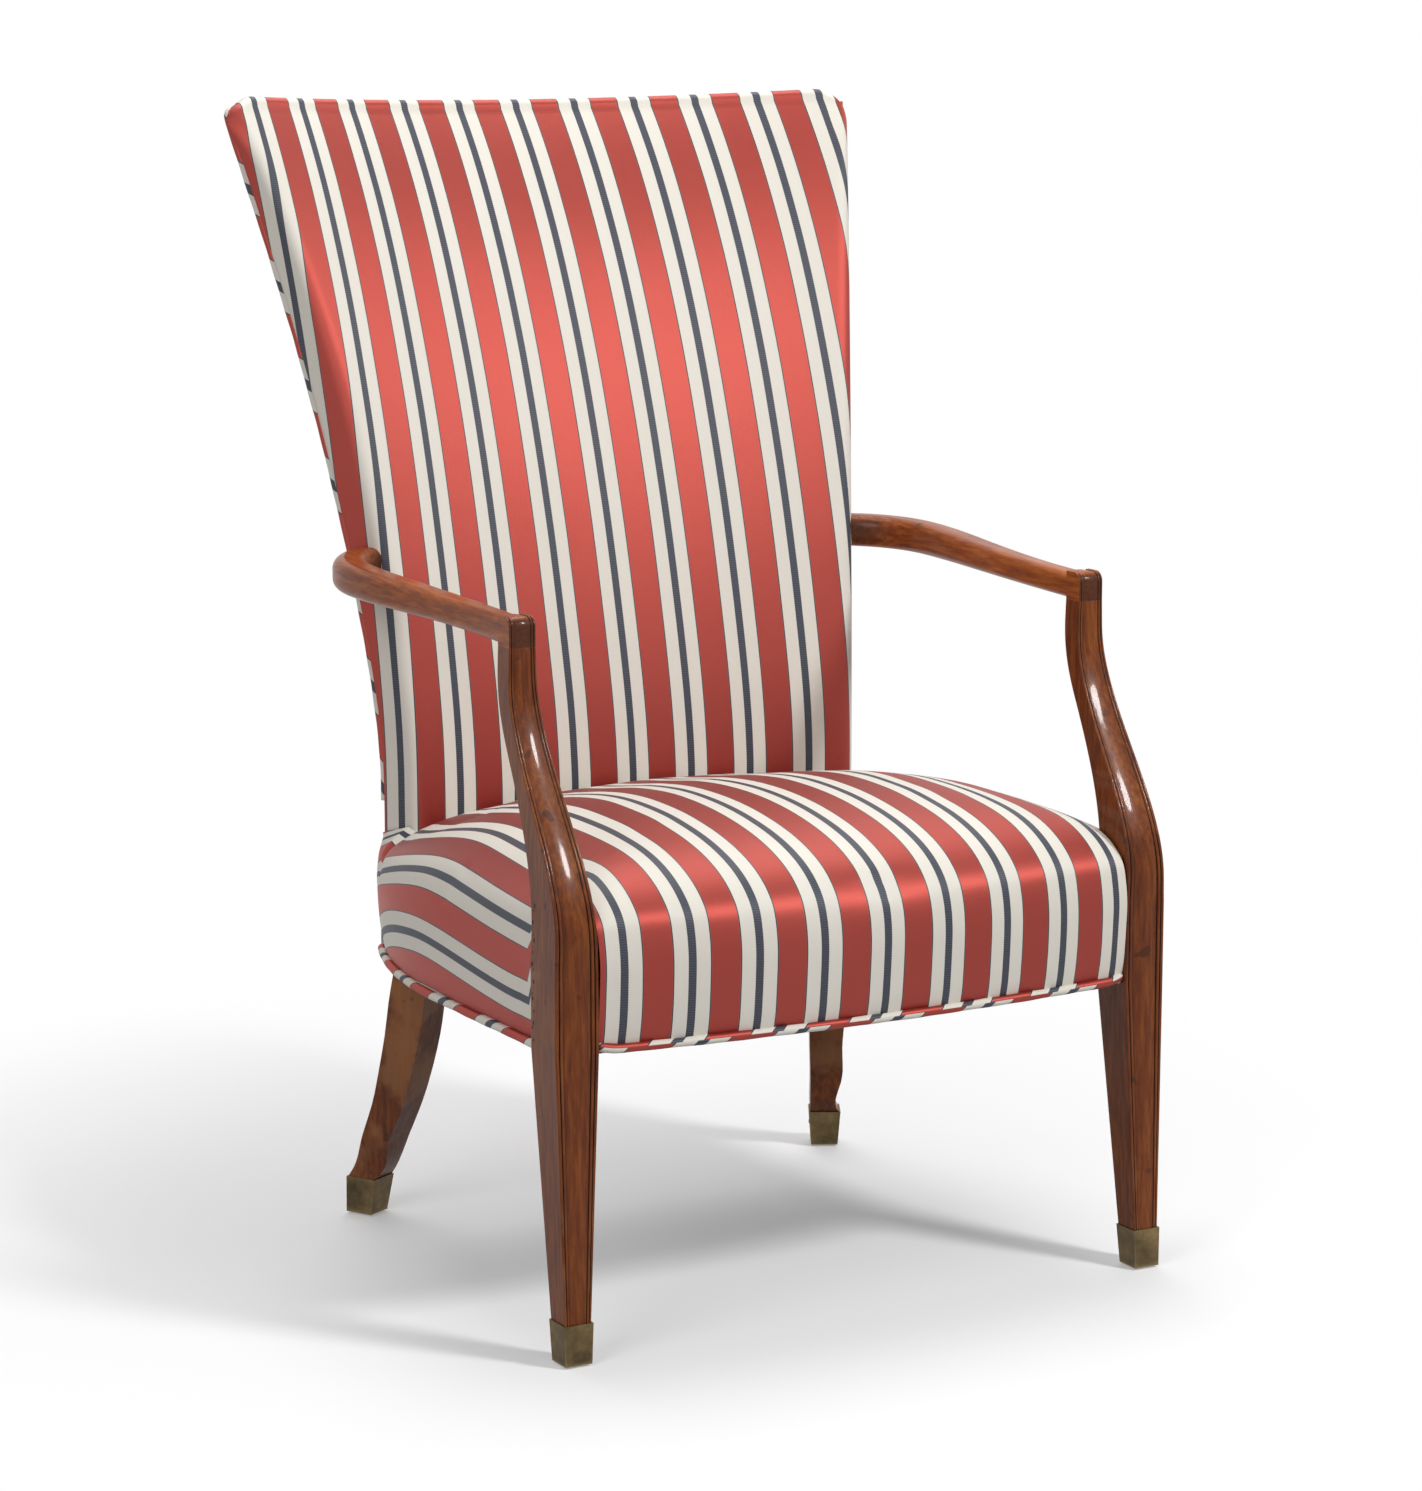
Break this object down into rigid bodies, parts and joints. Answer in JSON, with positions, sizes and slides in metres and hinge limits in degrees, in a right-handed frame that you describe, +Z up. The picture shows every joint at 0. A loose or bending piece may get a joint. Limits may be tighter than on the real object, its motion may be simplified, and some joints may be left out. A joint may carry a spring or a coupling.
{
  "type": "lolling chair",
  "caption": "Lolling chair: tall concave upholstered back, over-stuffed striped seat, moulded posts rising to shaped open arms, sabre rear legs and square brass cuffs.",
  "frame": {"origin": "on the floor under the middle of the chair's box", "axes": "+Z up, -Y the way a sitter faces, +X to the right seen from the front"},
  "size_m": [0.7134, 0.7675, 1.1239],
  "materials": {
    "mahogany": "french polished",
    "inner_wood": "sawn",
    "brass": "dark patina",
    "steel": "dull",
    "linen": "coarse weave",
    "stuffing": "hair and cotton",
    "striped_satin": "satin stripe",
    "bias_welt": "satin stripe on the bias",
    "dust_cloth": "black cambric"
  },
  "bodies": {
    "root": {"front_post_left": "mahogany", "rear_post_left": "mahogany", "arm_left": "mahogany", "side_seat_rail_left": "inner_wood", "corner_block_left": "inner_wood", "ferrule_front_left": "brass", "ferrule_rear_left": "brass", "front_post_right": "mahogany", "rear_post_right": "mahogany", "arm_right": "mahogany", "side_seat_rail_right": "inner_wood", "corner_block_right": "inner_wood", "ferrule_front_right": "brass", "ferrule_rear_right": "brass", "front_seat_rail": "inner_wood", "rear_seat_rail": "inner_wood", "crest_rail": "inner_wood", "lower_back_rail": "inner_wood", "corner_block_screws": "steel", "arm_screws": "steel", "cover_tacks": "steel", "foot_glides": "steel", "ferrule_pins": "brass", "seat_webbing_cross": "linen", "seat_webbing_long": "linen", "seat_burlap": "linen", "back_webbing": "linen", "back_burlap": "linen", "seat_stuffing": "stuffing", "back_stuffing": "stuffing", "seat_cover": "striped_satin", "inside_back_cover": "striped_satin", "outside_back_cover": "striped_satin", "seat_welt": "bias_welt", "back_welt": "bias_welt", "dust_cover": "dust_cloth"}
  },
  "joints": []
}
